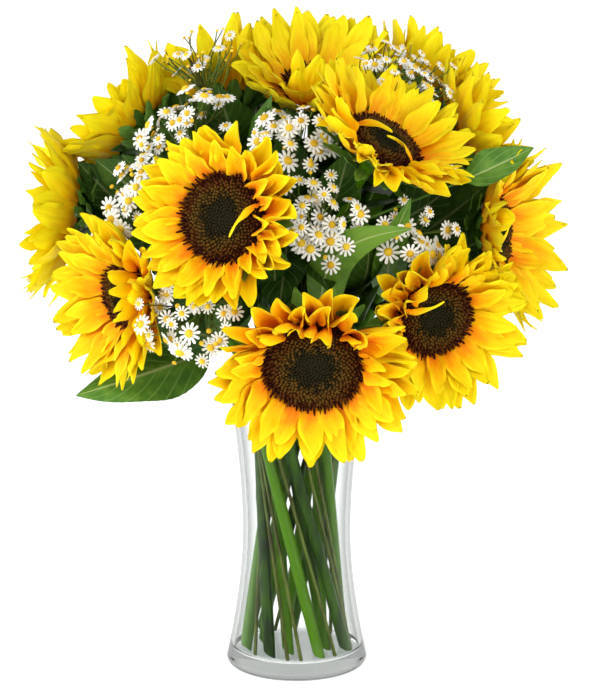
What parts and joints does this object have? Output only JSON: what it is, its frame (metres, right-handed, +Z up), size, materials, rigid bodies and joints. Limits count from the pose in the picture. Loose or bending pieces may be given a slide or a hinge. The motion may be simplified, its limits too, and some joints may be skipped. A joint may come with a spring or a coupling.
{
  "type": "sunflowers in a glass vase",
  "caption": "Hand-tied bouquet of sunflowers with small white feverfew and green leaves, standing in a flared clear glass vase with a thick base.",
  "frame": {"origin": "centre of the vase's flat underside", "axes": "+Z up; the bouquet's front faces -Y"},
  "size_m": [0.4086, 0.3516, 0.5003],
  "materials": {
    "glass": "clear polished glass, thick at the base",
    "stem": "fresh green plant stem, satin, faintly ribbed",
    "petal": "soft golden petal, lemon at the tip and orange at the root, fine ribs along it",
    "disk": "dark brown florets, nearly black in the middle",
    "leaf": "matt green leaf with pale veins",
    "feverfew": "white rays round yellow buttons on thin olive stalks"
  },
  "bodies": {
    "root": {"glass_vase": "glass", "sunflower_01_stem": "stem", "sunflower_01_petals": "petal", "sunflower_01_disk": "disk", "sunflower_02_stem": "stem", "sunflower_02_petals": "petal", "sunflower_02_disk": "disk", "sunflower_03_stem": "stem", "sunflower_03_petals": "petal", "sunflower_03_disk": "disk", "sunflower_04_stem": "stem", "sunflower_04_petals": "petal", "sunflower_04_disk": "disk", "sunflower_05_stem": "stem", "sunflower_05_petals": "petal", "sunflower_05_disk": "disk", "sunflower_06_stem": "stem", "sunflower_06_petals": "petal", "sunflower_06_disk": "disk", "sunflower_07_stem": "stem", "sunflower_07_petals": "petal", "sunflower_07_disk": "disk", "sunflower_08_stem": "stem", "sunflower_08_petals": "petal", "sunflower_08_disk": "disk", "sunflower_09_stem": "stem", "sunflower_09_petals": "petal", "sunflower_09_disk": "disk", "sunflower_10_stem": "stem", "sunflower_10_petals": "petal", "sunflower_10_disk": "disk", "sunflower_11_stem": "stem", "sunflower_11_petals": "petal", "sunflower_11_disk": "disk", "sunflower_12_stem": "stem", "sunflower_12_petals": "petal", "sunflower_12_disk": "disk", "sunflower_13_stem": "stem", "sunflower_13_petals": "petal", "sunflower_13_disk": "disk", "sunflower_14_stem": "stem", "sunflower_14_petals": "petal", "sunflower_14_disk": "disk", "feverfew_spray_1": "feverfew", "feverfew_spray_2": "feverfew", "feverfew_spray_3": "feverfew", "feverfew_spray_4": "feverfew", "feverfew_spray_5": "feverfew", "feverfew_spray_6": "feverfew", "feverfew_spray_7": "feverfew", "feverfew_spray_8": "feverfew", "feverfew_spray_9": "feverfew", "leaf_low_left": "leaf", "leaf_front_centre": "leaf", "leaf_front_right": "leaf", "leaf_right_high": "leaf", "leaf_top": "leaf", "leaf_back_left": "leaf", "leaf_back_right": "leaf", "leaf_back_low": "leaf"}
  },
  "joints": []
}
